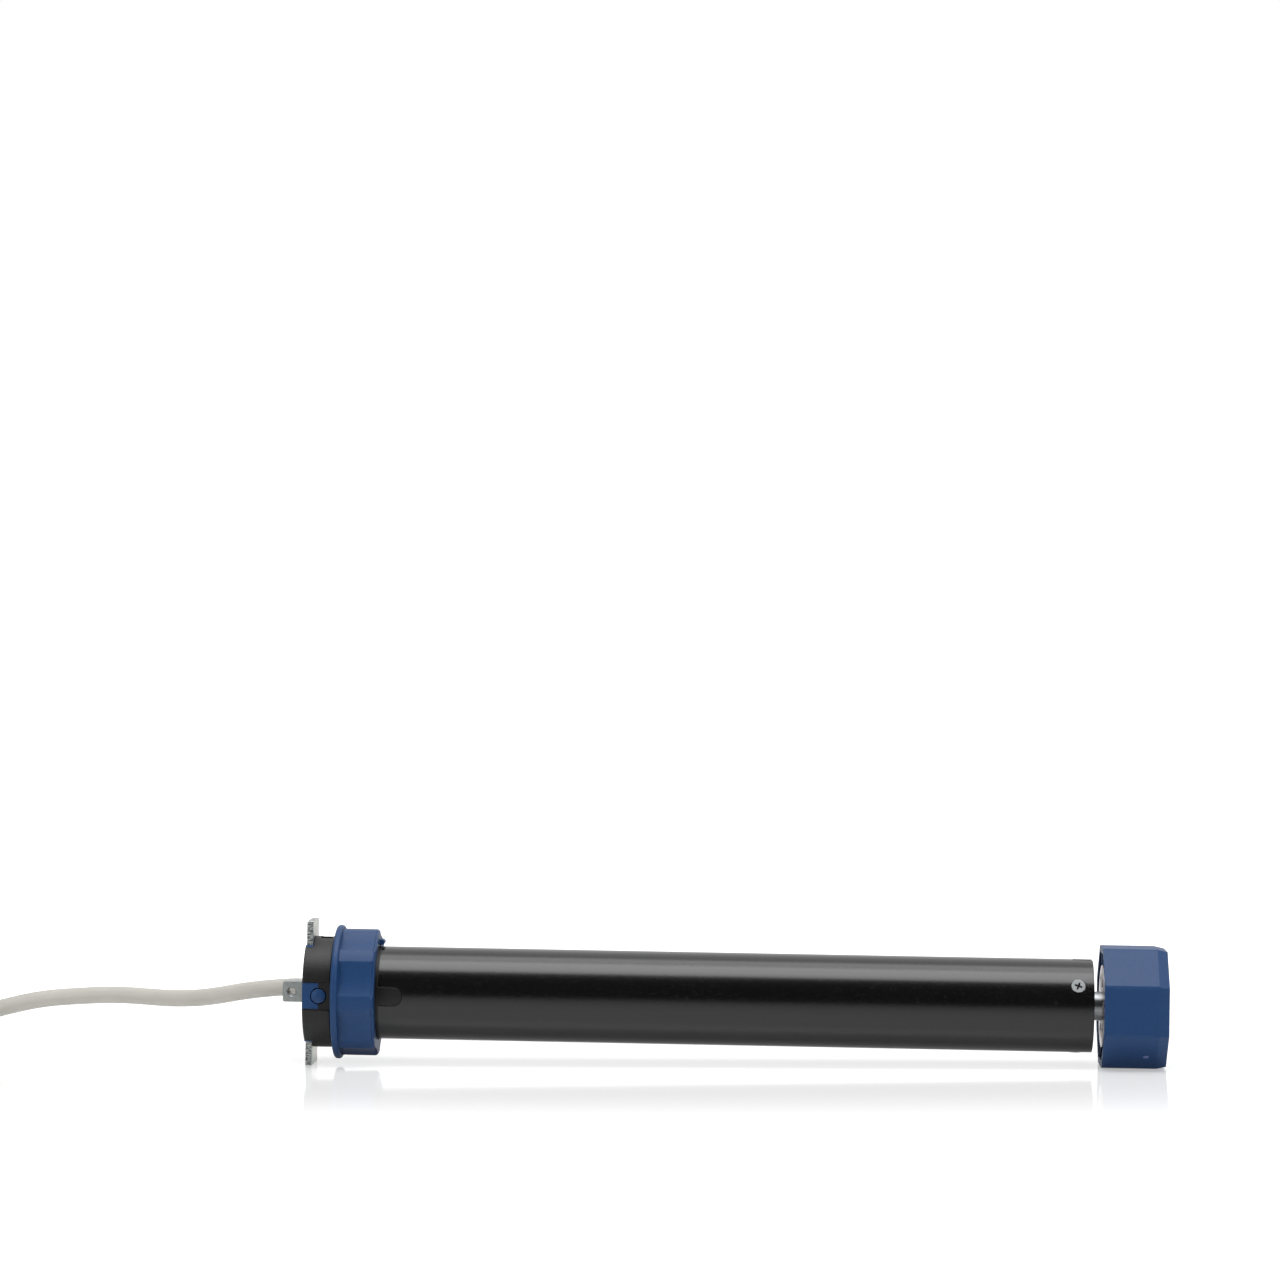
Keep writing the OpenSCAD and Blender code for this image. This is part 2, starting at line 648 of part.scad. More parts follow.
// Terminals, two relays, a choke, a fuse, a small capacitor and a chip
module board_components() {
    top = board_z + board_t + run_gap;
    terminal_x = board_x0 + 1.6;
    color(green) block([terminal_x, terminal_x + 8], [9, board_w / 2], [top, top + 8]);
    for (k = [0, 1]) color(black)
        block([board_x0 + 16 + 18 * k, board_x0 + 32 + 18 * k], [-11, -1], [top, top + 12]);
    color(copper) translate([board_x0 + 22, 8, top]) cylinder(h = 9, r = 5);
    color(white) block([board_x0 + 32, board_x0 + 50], [4, 10], [top, top + 6]);
    color(black) translate([board_x0 + 60, 0, top]) cylinder(h = 13, r = 5);
    color(black) block([board_x0 + 70, board_x0 + 80], [-8, 0], [top, top + 2]);
}
module capacitor() {
    x1 = tray_x1 - 2;
    r = capacitor_d / 2;
    color(steel) translate([0, 0, capacitor_z])
        turned([[0, x1 - capacitor_l], [r - 1, x1 - capacitor_l], [r, x1 - capacitor_l + 1], [r, x1 - 1],
                [r - 1, x1], [r - 2, x1], [r - 2, x1 - 1], [0, x1 - 1]]);
}
// A ball bearing: outer ring, inner ring and the balls between
module ball_bearing(x0, width, outer, bore, balls) {
    wall = (outer - bore) / 3.4;
    ball_r = (outer - bore - 2 * wall) / 2 - run_gap;
    middle = (outer + bore) / 2;
    pipe(x0, x0 + width, outer, outer - wall);
    pipe(x0, x0 + width, bore + wall, bore);
    for (k = [0:balls - 1]) rotate([360 * k / balls, 0, 0])
        translate([x0 + width / 2, middle, 0]) sphere(r = min(ball_r, width / 2 - run_gap));
}
module end_shield(x0, x1, pocket_x0) {
    difference() {
        rod(x0, x1, inner_r);
        rod(x0 - over, x1 + over, axle_r + over);
        rod(pocket_x0, pocket_x0 + bearing_w + fit_gap, bearing_r + fit_gap / 2);
        for (k = [0:2]) rotate([120 * k + 60, 0, 0]) translate([0, 15, 0]) rod(x0 - over, x1 + over, 2.6);
    }
}
module rear_shield() { color(steel) end_shield(rear_x0, rear_x1, rear_x1 - bearing_w); }
module front_shield() { color(steel) end_shield(front_x0, front_x1, front_x0 - fit_gap); }
module rotor_bearings() {
    color(zinc) {
        ball_bearing(rear_x1 - bearing_w, bearing_w, bearing_r, axle_r + run_gap, 7);
        ball_bearing(front_x0, bearing_w, bearing_r, axle_r + run_gap, 7);
    }
}
module stator_core() {
    color(steel) difference() {
        pipe(stator_x0, stator_x1, inner_r, stator_bore_r);
        for (k = [0:slots - 1]) rotate([360 * k / slots, 0, 0]) {
            block([stator_x0 - over, stator_x1 + over], [slot_r0, slot_r1], [-slot_w / 2, slot_w / 2]);
            block([stator_x0 - over, stator_x1 + over], [stator_bore_r - over, slot_r0 + over], [-0.7, 0.7]);
        }
    }
}
module stator_windings() {
    half = slot_w / 2 - fit_gap;
    color(copper) {
        for (k = [0:slots - 1]) rotate([360 * k / slots, 0, 0])
            block([stator_x0 - over, stator_x1 + over], [slot_r0 + fit_gap, slot_r1 - fit_gap], [-half, half]);
        for (x = [stator_x0 - turns_t, stator_x1 + fit_gap])
            turned(arc([(slot_r0 + slot_r1) / 2, x + turns_t / 2 - run_gap], turns_t / 2 - run_gap, 0, 330, 11));
    }
}
module rotor_core() {
    color(steel) turned([[axle_r + 0.02, stator_x0 - 3], [rotor_r - 3, stator_x0 - 3], [rotor_r - 2, stator_x0],
        [rotor_r, stator_x0], [rotor_r, stator_x1], [rotor_r - 2, stator_x1], [rotor_r - 3, stator_x1 + 3],
        [axle_r + 0.02, stator_x1 + 3]]);
}
// The rotor's shaft, with the first sun cut on its end
module rotor_shaft() {
    sun_r = sun_teeth * gear_module / 2 - 1.15 * gear_module;
    color(zinc) union() {
        rod(rear_x0 + 1.5, box_x1 - fit_gap, axle_r);
        rod(box_x1 - 2, planet1_x1, min(axle_r, sun_r - 0.05));
        outer_gear(planet1_x0 - play / 2, planet1_x1, sun_teeth, gear_module);
    }
}
module brake_housing() {
    color(steel) difference() {
        rod(brake_x0, brake_x1, inner_r);
        rod(magnet_x0, brake_x1 + over, magnet_r + fit_gap);
        rod(brake_x0 - over, brake_x1, axle_r + over);
    }
}
// The electromagnet's iron, with its coil groove, spring pocket and three guide pins
module brake_magnet() {
    color(zinc) union() {
        difference() {
            rod(magnet_x0 + run_gap, magnet_x1, magnet_r);
            rod(magnet_x0 - over, magnet_x1 + over, axle_r + over);
            pipe(magnet_x0 + 4, magnet_x1 + over, 16.2, 9.6);
            rod(magnet_x1 - 6, magnet_x1 + over, 7.4);
        }
        for (k = [0:2]) rotate([120 * k, 0, 0]) translate([0, 18, 0])
            rod(magnet_x1 - over, brake_plate_x1 - 0.4, 1.2);
    }
}
module brake_coil() { color(copper) pipe(magnet_x0 + 4 + fit_gap, magnet_x1 - 0.4, 16.2 - fit_gap, 9.6 + fit_gap); }
module brake_plate() {
    color(steel) difference() {
        pipe(brake_plate_x0, brake_plate_x1, magnet_r - slide_gap, axle_r + over);
        for (k = [0:2]) rotate([120 * k, 0, 0]) translate([0, 18, 0])
            rod(brake_plate_x0 - over, brake_plate_x1 + over, 1.2 + fit_gap);
    }
}
module brake_spring() {
    color(steel) along_x(magnet_x1 - 6) spring(6, 0.6, 0.1, 6.4, 3);
}
module brake_disc() {
    hub = 6.5;
    color(black) difference() {
        union() {
            rod(brake_disc_x0, brake_disc_x0 + 2.5, 16);
            rod(brake_disc_x0, brake_disc_x0 + 8, hub);
        }
        rod(brake_disc_x0 - over, brake_disc_x0 + 8 + over, axle_r + 0.02);
    }
}
module gearbox_plate() { color(steel) pipe(box_x0, box_x1, inner_r, axle_r + over); }
module ring_gear() {
    color(steel) difference() {
        rod(box_x1 + 0.02, cover_x0 - 0.02, inner_r);
        inner_gear_space(box_x1 - over, cover_x0 + over, ring_teeth, gear_module);
    }
}
module planet(x0, x1, k) {
    color(zinc) rotate([120 * k, 0, 0]) translate([0, planet_c, 0]) rotate([-120 * k, 0, 0]) difference() {
        outer_gear(x0, x1, planet_teeth, gear_module);
        rod(x0 - over, x1 + over, pin_r + run_gap);
    }
}
module planet_pins(x0, x1) {
    for (k = [0:2]) rotate([120 * k, 0, 0]) translate([0, planet_c, 0]) rod(x0, x1, pin_r);
}
// A carrier: its disc, the pins of its planets, and the sun that drives the next stage
module carrier(pins_x0, x0, x1, sun_x1) {
    color(steel) union() {
        rod(x0, x1, carrier_r);
        planet_pins(pins_x0, x0 + over);
        outer_gear(x1 - over, sun_x1, sun_teeth, gear_module);
    }
}
module carrier_1() { carrier(planet1_x0, disc1_x0, disc1_x1, planet2_x1); }
module carrier_2() { carrier(planet2_x0, disc2_x0, disc2_x1, planet3_x1); }
// The last carrier, with the shaft that leaves the tube and turns the drive wheel
module output_shaft() {
    color(zinc) difference() {
        union() {
            rod(disc3_x0, disc3_x1, carrier_r);
            planet_pins(planet3_x0, disc3_x0 + over);
            rod(disc3_x1 - over, insert_x0 - run_gap, shaft_r);
            along_x(insert_x0 - over) cylinder(h = web_x1 + 0.2 - insert_x0 + over, d = hex_af / cos(30), $fn = 6);
            rod(web_x1 - over, wheel_x1 - 0.4, end_r);
        }
        pipe(clip_x0 - run_gap, clip_x0 + clip_t + run_gap, end_r + over, end_r - 0.8);
    }
}
module output_bearing() {
    color(zinc) ball_bearing(cover_x0 + 0.2, output_bearing_w, output_bearing_r, shaft_r + run_gap, 9);
}
module gearbox_cover() {
    color(black) difference() {
        union() {
            rod(cover_x0, cover_x1, inner_r);
            block([tube_x1 - key_l + slide_gap, cover_x1], [-key_w / 2 + 0.15, key_w / 2 - 0.15],
                  [inner_r - 2, inner_r + key_rise]);
        }
        rod(cover_x0 - over, cover_x1 + over, shaft_r + slide_gap);
        rod(cover_x0 - over, cover_x0 + 0.2 + output_bearing_w + run_gap, output_bearing_r + run_gap);
        screws(run_gap);
    }
}
// A countersunk cover screw for each angle; a gap makes the hole that it stands in
module screws(gap) {
    rim = gap > 0 ? slide_gap : 0;
    for (a = screw_angles) from_front(a) translate([screw_x, 0, 0]) rotate([90, 0, 0]) {
        translate([0, 0, tube_r - screw_l]) cylinder(h = screw_l - run_gap, r = screw_r + gap);
        translate([0, 0, tube_r - screw_head_l - run_gap])
            cylinder(h = screw_head_l, r1 = screw_r + gap, r2 = screw_head_r + rim);
        if (gap > 0) translate([0, 0, tube_r - 2 * run_gap]) cylinder(h = over, r = screw_head_r + rim);
    }
}
module tube_screws() {
    color(zinc) difference() {
        screws(0);
        for (a = screw_angles, turn = [0, 90]) from_front(a)
            translate([screw_x, -tube_r, 0]) rotate([0, turn + 20, 0])
                cube([cross_l, 2 * cross_deep, cross_w], center = true);
    }
}
module wheel_insert() {
    color(steel) difference() {
        rod(insert_x0, insert_x1, insert_r);
        along_x(insert_x0 - over) cylinder(h = 4, d = (hex_af + 2 * fit_gap) / cos(30), $fn = 6);
        for (k = [0:5]) rotate([60 * k, 0, 0])
            block([insert_x0 - over, insert_x1 + over], [9.5, 16.5], [-3, 3]);
    }
}
module octagon(x0, x1, flat) {
    along_x(x0) rotate([0, 0, 22.5]) cylinder(h = x1 - x0, r = flat / cos(22.5), $fn = 8);
}
module drive_wheel() {
    slope = atan(taper_drop / taper_l);
    color(blue) difference() {
        union() {
            difference() {
                intersection() {
                    octagon(wheel_x0, wheel_x1, flat_r);
                    rod(wheel_x0, wheel_x1, wheel_corner_r);
                }
                for (k = [0:7]) rotate([45 * k, 0, 0]) translate([taper_x0, flat_r, -flat_r])
                    rotate([0, 0, -slope]) cube([2 * taper_l, wheel_wall * 2, 2 * flat_r]);
                octagon(wheel_x0 - over, web_x0, flat_r - wheel_wall);
                rod(web_x1, wheel_x1 + over, insert_r);
            }
            rod(insert_x1 + fit_gap, web_x0 + over, hub_r);
            for (k = [0:7]) rotate([45 * k + 22.5, 0, 0]) difference() {
                block([wheel_x0 + 0.8, web_x0 + over], [hub_r - over, flat_r - over], [-0.8, 0.8]);
                rod(wheel_x0, insert_x1 + fit_gap, insert_r + fit_gap);
            }
        }
        along_x(wheel_x0) cylinder(h = wheel_l, d = (hex_af + 2 * fit_gap) / cos(30), $fn = 6);
    }
}
module retaining_clip() {
    color(steel) difference() {
        pipe(clip_x0, clip_x0 + clip_t, end_r + 3, end_r - 0.75);
        block([clip_x0 - over, clip_x0 + 2], [-1.6, 1.6], [0, head_d]);
    }
}

tube();
motor_head();
bearing_plate();
square_pin();
plate_carrier();
release_button();
button_spring();
crown_ring();
encoder_pinion();
encoder_wheel();
cable_gland();
cable_entry();
cable_free();
cable_coil();
cable_cores();
lead_wires();
board_tray();
circuit_board();
board_components();
capacitor();
rear_shield();
stator_core();
stator_windings();
front_shield();
rotor_bearings();
rotor_core();
rotor_shaft();
brake_housing();
brake_magnet();
brake_coil();
brake_plate();
brake_spring();
brake_disc();
gearbox_plate();
ring_gear();
carrier_1();
planet(planet1_x0, planet1_x1, 0);  // planet_1a
planet(planet1_x0, planet1_x1, 1);  // planet_1b
planet(planet1_x0, planet1_x1, 2);  // planet_1c
carrier_2();
planet(planet2_x0, planet2_x1, 0);  // planet_2a
planet(planet2_x0, planet2_x1, 1);  // planet_2b
planet(planet2_x0, planet2_x1, 2);  // planet_2c
output_shaft();
planet(planet3_x0, planet3_x1, 0);  // planet_3a
planet(planet3_x0, planet3_x1, 1);  // planet_3b
planet(planet3_x0, planet3_x1, 2);  // planet_3c
output_bearing();
gearbox_cover();
tube_screws();
wheel_insert();
drive_wheel();
retaining_clip();
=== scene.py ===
import bmesh
import bpy
from math import atan, cos, pi, radians, sin, tan
from mathutils import Matrix, Vector


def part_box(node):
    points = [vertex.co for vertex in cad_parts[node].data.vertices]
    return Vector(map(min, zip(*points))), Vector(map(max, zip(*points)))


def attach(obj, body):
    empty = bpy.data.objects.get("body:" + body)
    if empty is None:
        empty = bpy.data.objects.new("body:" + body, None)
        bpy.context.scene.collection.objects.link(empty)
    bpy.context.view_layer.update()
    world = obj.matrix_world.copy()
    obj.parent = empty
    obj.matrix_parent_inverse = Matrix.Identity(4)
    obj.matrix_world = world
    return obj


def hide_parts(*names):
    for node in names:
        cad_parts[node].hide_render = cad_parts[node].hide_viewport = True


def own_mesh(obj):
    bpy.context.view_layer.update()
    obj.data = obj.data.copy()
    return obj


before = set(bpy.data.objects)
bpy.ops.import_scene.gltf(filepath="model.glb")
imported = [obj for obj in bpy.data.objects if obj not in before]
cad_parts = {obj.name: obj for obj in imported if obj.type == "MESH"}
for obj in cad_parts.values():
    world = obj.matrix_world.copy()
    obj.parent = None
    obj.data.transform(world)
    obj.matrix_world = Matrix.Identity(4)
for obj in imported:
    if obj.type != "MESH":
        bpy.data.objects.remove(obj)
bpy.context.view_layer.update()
scene = bpy.context.scene
scene.view_settings.view_transform = "Standard"

# The motor lies on a white table, on the tip of its lower lug and on a flat of the drive wheel,
# so its axis dips a little towards the wheel. Everything that lies on the table follows this plane.
# The wheel's last few millimetres are tapered, so it stands on the flat before them.
lug_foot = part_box("bearing_plate")[0][2]
lug_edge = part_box("bearing_plate")[1][0]
wheel_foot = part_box("drive_wheel")[0][2]
wheel_taper = 0.005
wheel_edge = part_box("drive_wheel")[1][0] - wheel_taper
tilt = atan((wheel_foot - lug_foot) / (wheel_edge - lug_edge))
table_up = Vector((-sin(tilt), 0, cos(tilt)))
table_along = Vector((cos(tilt), 0, sin(tilt)))


def table_height(x):
    return lug_foot + (x - lug_edge) * tan(tilt)


# The camera stands two metres off with a long lens, a little above the motor, nearly level, and
# looks slightly to the left of square on. It is set out from the head's face, whose place in the
# photo is head_pixel.
photo_size = 1280
focal_pixels = 4193
head_pixel = (308.2, 990.9)
head_distance = 2.048
swing = radians(2.31)
pitch = radians(0.5)
head_face = Vector((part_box("motor_head")[0][0], 0, 0))
level_look = -sin(swing) * table_along + cos(swing) * Vector((0, 1, 0))
look = cos(pitch) * level_look - sin(pitch) * table_up
right = look.cross(table_up).normalized()
up = right.cross(look)
across = (head_pixel[0] - photo_size / 2) * head_distance / focal_pixels
down = (head_pixel[1] - photo_size / 2) * head_distance / focal_pixels
eye = head_face - head_distance * look - across * right + down * up
camera_data = bpy.data.cameras.new("photo_camera")
camera_data.sensor_width = 36
camera_data.lens = focal_pixels / photo_size * camera_data.sensor_width
camera_data.clip_end = 50
camera = bpy.data.objects.new("photo_camera", camera_data)
camera.matrix_world = Matrix.Translation(eye) @ Matrix((right, up, -look)).transposed().to_4x4()
scene.collection.objects.link(camera)
scene.camera = camera


# The cable is round, with a light grey sheath. It leaves the head behind the pin, sags to the
# table and lies in a neat coil of eight turns, four layers of two, outside the camera's view.
def paint(red, green, blue):
    """A colour as the screen shows it, 0 to 255 a channel, in the linear values of a shader."""
    channels = [c / 255 for c in (red, green, blue)]
    return tuple(c / 12.92 if c <= 0.04045 else ((c + 0.055) / 1.055) ** 2.4 for c in channels) + (1,)


def finish(name, colour, roughness, metallic=0.0, grain=0.0004, relief=0.00002, blotch=0.02, uneven=0.12,
           edge=0.0003, stretch=(1, 1, 1), shine=0.5, edge_highlight=0.0, specks=0.0, second=None):
    """A moulded, painted or plated surface: fine grain, faint blotches, specks and softened edges.

    Lengths are in metres: grain, relief, blotch and edge. Specks lie on the peaks of the grain.
    An edge is painted paler, as a painted highlight, where its rounded normal turns away from the face's own.
    """
    speck_start = 0.6
    speck_full = 0.72
    highlight_start = 1.0
    highlight_full = 0.8
    pale_gain = 1.6
    pale_lift = 0.04
    sheen_swing = 0.12
    material = bpy.data.materials.new(name)
    material.use_nodes = True
    nodes = material.node_tree.nodes
    links = material.node_tree.links
    shader = nodes["Principled BSDF"]
    shader.inputs["Metallic"].default_value = metallic
    shader.inputs["Specular IOR Level"].default_value = shine
    place = nodes.new("ShaderNodeTexCoord")
    mapping = nodes.new("ShaderNodeMapping")
    mapping.inputs["Scale"].default_value = stretch
    links.new(place.outputs["Object"], mapping.inputs["Vector"])
    fine = nodes.new("ShaderNodeTexNoise")
    fine.inputs["Scale"].default_value = 1 / grain
    fine.inputs["Detail"].default_value = 3
    links.new(mapping.outputs["Vector"], fine.inputs["Vector"])
    broad = nodes.new("ShaderNodeTexNoise")
    broad.inputs["Scale"].default_value = 1 / blotch
    broad.inputs["Detail"].default_value = 4
    links.new(place.outputs["Object"], broad.inputs["Vector"])
    tone = nodes.new("ShaderNodeMix")
    tone.data_type = "RGBA"
    tone.inputs["A"].default_value = tuple(c * (1 - uneven) for c in colour[:3]) + (1,)
    tone.inputs["B"].default_value = tuple(min(1, c * (1 + uneven)) for c in (second or colour)[:3]) + (1,)
    links.new(broad.outputs["Fac"], tone.inputs["Factor"])
    sparse = nodes.new("ShaderNodeMapRange")
    sparse.inputs["From Min"].default_value = speck_start
    sparse.inputs["From Max"].default_value = speck_full
    sparse.inputs["To Max"].default_value = specks
    links.new(fine.outputs["Fac"], sparse.inputs["Value"])
    soft_edge = nodes.new("ShaderNodeBevel")
    soft_edge.samples = 4
    soft_edge.inputs["Radius"].default_value = edge
    shape = nodes.new("ShaderNodeNewGeometry")
    turned = nodes.new("ShaderNodeVectorMath")
    turned.operation = "DOT_PRODUCT"
    links.new(soft_edge.outputs["Normal"], turned.inputs[0])
    links.new(shape.outputs["Normal"], turned.inputs[1])
    # Painted highlight: where the rounded normal turns away from the true one, at an edge, the colour is
    # painted paler.
    edge_highlit = nodes.new("ShaderNodeMapRange")
    edge_highlit.inputs["From Min"].default_value = highlight_start
    edge_highlit.inputs["From Max"].default_value = highlight_full
    edge_highlit.inputs["To Max"].default_value = edge_highlight
    links.new(turned.outputs["Value"], edge_highlit.inputs["Value"])
    paler = nodes.new("ShaderNodeMath")
    paler.operation = "MAXIMUM"
    links.new(sparse.outputs["Result"], paler.inputs[0])
    links.new(edge_highlit.outputs["Result"], paler.inputs[1])
    # The pale colour serves both the random specks and the painted edge highlight.
    specks_and_edge_highlight = nodes.new("ShaderNodeMix")
    specks_and_edge_highlight.data_type = "RGBA"
    specks_and_edge_highlight.inputs["B"].default_value = tuple(min(1, c * pale_gain + pale_lift) for c in colour[:3]) + (1,)
    links.new(tone.outputs["Result"], specks_and_edge_highlight.inputs["A"])
    links.new(paler.outputs[0], specks_and_edge_highlight.inputs["Factor"])
    links.new(specks_and_edge_highlight.outputs["Result"], shader.inputs["Base Color"])
    sheen = nodes.new("ShaderNodeMapRange")
    sheen.inputs["To Min"].default_value = roughness * (1 - sheen_swing)
    sheen.inputs["To Max"].default_value = min(1, roughness * (1 + sheen_swing))
    links.new(fine.outputs["Fac"], sheen.inputs["Value"])
    links.new(sheen.outputs["Result"], shader.inputs["Roughness"])
    bump = nodes.new("ShaderNodeBump")
    bump.inputs["Strength"].default_value = 1
    bump.inputs["Distance"].default_value = relief
    links.new(fine.outputs["Fac"], bump.inputs["Height"])
    links.new(soft_edge.outputs["Normal"], bump.inputs["Normal"])
    links.new(bump.outputs["Normal"], shader.inputs["Normal"])
    return material


def dress(material, *names):
    """Gives the named solids of the frame this one material."""
    for name in names:
        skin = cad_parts[name].data
        skin.materials.clear()
        skin.materials.append(material)


sheath_grey = finish("cable_sheath", paint(180, 177, 170), 0.5, grain=0.0006, blotch=0.012, uneven=0.09)
cable_d = 0.0084
cable_sides = 20
gland_y = 0.0205
cable_exit = Vector((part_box("cable_gland")[0][0], gland_y, 0))
coil_x = -0.24
coil_y = 0.01
coil_r = 0.054
coil_turns = 2
coil_layers = 4
turn_gap = 0.0008
layer_gap = 0.0005
coil_pitch = cable_d + turn_gap
coil_layer = cable_d + layer_gap
climb_turns = 0.5
coil_floor = Vector((coil_x, coil_y, table_height(coil_x)))


def on_table(x, y, z):
    """A point by its place along, across and above the table, from the foot of the coil's middle."""
    return coil_floor + x * table_along + Vector((0, y, 0)) + z * table_up


def coil_point(t):
    """A point of the coil after t turns: it spirals in and out and climbs a layer as it reverses."""
    turns_in = t % (2 * coil_turns)
    turns_in = min(turns_in, 2 * coil_turns - turns_in)
    reversal = round(t / coil_turns)
    just_under = 1e-6
    layer = min(max(int(t / coil_turns - just_under), 0), coil_layers - 1)
    if 0 < reversal < coil_layers:
        climbed = (t - reversal * coil_turns) / climb_turns + 0.5
        layer = reversal - 1 + min(1, max(0, climbed))
    radius = coil_r - coil_pitch * turns_in
    angle = pi / 2 + 2 * pi * t
    return on_table(radius * cos(angle), radius * sin(angle), cable_d / 2 + coil_layer * layer)


# The route from the head to the coil, given in millimetres and the same as the solids'.
run_in = 0.012
coil_start = on_table(cable_d, coil_r, cable_d / 2)
layer_top = cable_d / 2 + coil_layer * (coil_layers - 1)
coil_end = on_table(-cable_d, coil_r, layer_top)
route = [cable_exit - Vector((straight, 0, 0)) for straight in (0, cable_d / 2, cable_d)]
route += [Vector(p) / 1000 for p in (
    (-12, 24, -1.5), (-24, 28, -3.5), (-36, 32, -6), (-48, 37, -8), (-62, 43, -9), (-75, 49, -9),
    (-88, 54, -9), (-106, 59, -10), (-132, 63, -13), (-160, 65, -20), (-188, 65, -28), (-212, 64.5, -32.5))]
route += [coil_start + Vector((run_in, 0, run_in * tan(tilt))), coil_start]


def smooth(points, steps):
    """A curve through the points, with steps short stretches from each to the next."""
    line = []
    for i in range(len(points) - 1):
        a, b = points[max(i - 1, 0)], points[i]
        c, d = points[i + 1], points[min(i + 2, len(points) - 1)]
        for j in range(steps):
            t = j / steps
            line.append(0.5 * (2 * b + (c - a) * t + (2 * a - 5 * b + 4 * c - d) * t ** 2
                               + (3 * b - a - 3 * c + d) * t ** 3))
    return line + [points[-1]]


def tube_along(name, points, diameter, sides, material):
    """A round tube that follows the points, made with Geometry Nodes and kept as a plain mesh."""
    line = bpy.data.curves.new(name + "_line", "CURVE")
    line.dimensions = "3D"
    spline = line.splines.new("POLY")
    spline.points.add(len(points) - 1)
    for knot, p in zip(spline.points, points):
        knot.co = (*p, 1)
    guide = bpy.data.objects.new(name + "_guide", line)
    scene.collection.objects.link(guide)
    tree = bpy.data.node_groups.new(name + "_tube", "GeometryNodeTree")
    tree.interface.new_socket("Line", in_out="INPUT", socket_type="NodeSocketGeometry")
    size = tree.interface.new_socket("Diameter", in_out="INPUT", socket_type="NodeSocketFloat")
    tree.interface.new_socket("Tube", in_out="OUTPUT", socket_type="NodeSocketGeometry")
    start = tree.nodes.new("NodeGroupInput")
    end = tree.nodes.new("NodeGroupOutput")
    half = tree.nodes.new("ShaderNodeMath")
    half.operation = "DIVIDE"
    half.inputs[1].default_value = 2
    circle = tree.nodes.new("GeometryNodeCurvePrimitiveCircle")
    circle.inputs["Resolution"].default_value = sides
    sweep = tree.nodes.new("GeometryNodeCurveToMesh")
    sweep.inputs["Fill Caps"].default_value = True
    real = tree.nodes.new("GeometryNodeRealizeInstances")
    skin = tree.nodes.new("GeometryNodeSetMaterial")
    skin.inputs["Material"].default_value = material
    tree.links.new(start.outputs["Diameter"], half.inputs[0])
    tree.links.new(half.outputs[0], circle.inputs["Radius"])
    tree.links.new(start.outputs["Line"], sweep.inputs["Curve"])
    tree.links.new(circle.outputs["Curve"], sweep.inputs["Profile Curve"])
    tree.links.new(sweep.outputs["Mesh"], real.inputs["Geometry"])
    tree.links.new(real.outputs["Geometry"], skin.inputs["Geometry"])
    tree.links.new(skin.outputs["Geometry"], end.inputs["Tube"])
    modifier = guide.modifiers.new("tube", "NODES")
    modifier.node_group = tree
    modifier[size.identifier] = diameter
    ready = guide.evaluated_get(bpy.context.evaluated_depsgraph_get())
    mesh = bpy.data.meshes.new_from_object(ready)
    mesh.name = name
    for face in mesh.polygons:
        face.use_smooth = len(face.vertices) == 4
    piece = bpy.data.objects.new(name, mesh)
    scene.collection.objects.link(piece)
    bpy.data.objects.remove(guide)
    return piece


route_steps = 8
coil_steps = 48
cable_path = smooth(route, route_steps)
cable_path += [coil_point(i / coil_steps) for i in range(1, coil_turns * coil_layers * coil_steps + 1)]
cable_path.append(coil_end)
cable = tube_along("mains_cable", cable_path, cable_d, cable_sides, sheath_grey)
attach(cable, "housing")
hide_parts("cable_free", "cable_coil")

# The sheath is stripped at the far end: four insulated copper cores, each with a crimped ferrule.
# They fan out a little where the sheath no longer holds them.
core_d = 0.0022
core_length = 0.030
core_sides = 12
core_steps = 8
core_spread = 0.0017
fan_angle = radians(4)
ferrule_d = 0.0016
ferrule_length = 0.008
core_colours = {"brown": paint(92, 56, 38), "blue": paint(48, 88, 160), "black": paint(28, 28, 30),
                "green": paint(80, 140, 60)}
ferrule_tin = finish("ferrule_tin", paint(190, 192, 194), 0.28, metallic=1.0, relief=0.000004)
for k, (word, colour) in enumerate(core_colours.items()):
    y_side = (k % 2 - 0.5) * 2
    z_side = (k // 2 - 0.5) * 2
    line = []
    for j in range(core_steps + 1):
        run = core_length * j / core_steps
        y = coil_r + y_side * (core_spread + run * tan(fan_angle))
        line.append(on_table(-cable_d - run, y, layer_top + z_side * core_spread))
    tip = line[-1] + (line[-1] - line[-2]).normalized() * ferrule_length
    insulation = finish("core_" + word, colour, 0.42, relief=0.000006)
    core = tube_along("core_" + word, line, core_d, core_sides, insulation)
    ferrule = tube_along("ferrule_" + word, [line[-1], tip], ferrule_d, core_sides, ferrule_tin)
    for piece in (core, ferrule):
        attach(piece, "housing")
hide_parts("cable_cores")

# The gland is a black rubber bush that clamps the cable in the head, and the cable's own end
# reaches through it to the leads.
rubber_black = finish("gland_rubber", paint(38, 38, 38), 0.6, grain=0.0008)
dress(rubber_black, "cable_gland")
dress(sheath_grey, "cable_entry")

# The square pin is cut from bright drawn steel bar and zinc plated. The plating is mottled, and along
# the edges and round the cross hole it is painted paler, a painted highlight. The pin sits fast in the head.
pin_zinc = finish("pin_zinc", paint(150, 158, 162), 0.4, metallic=1.0, grain=0.0006, relief=0.000014,
                  blotch=0.0024, uneven=0.24, edge=0.00015, edge_highlight=1.0, second=paint(168, 172, 168))
dress(pin_zinc, "square_pin")


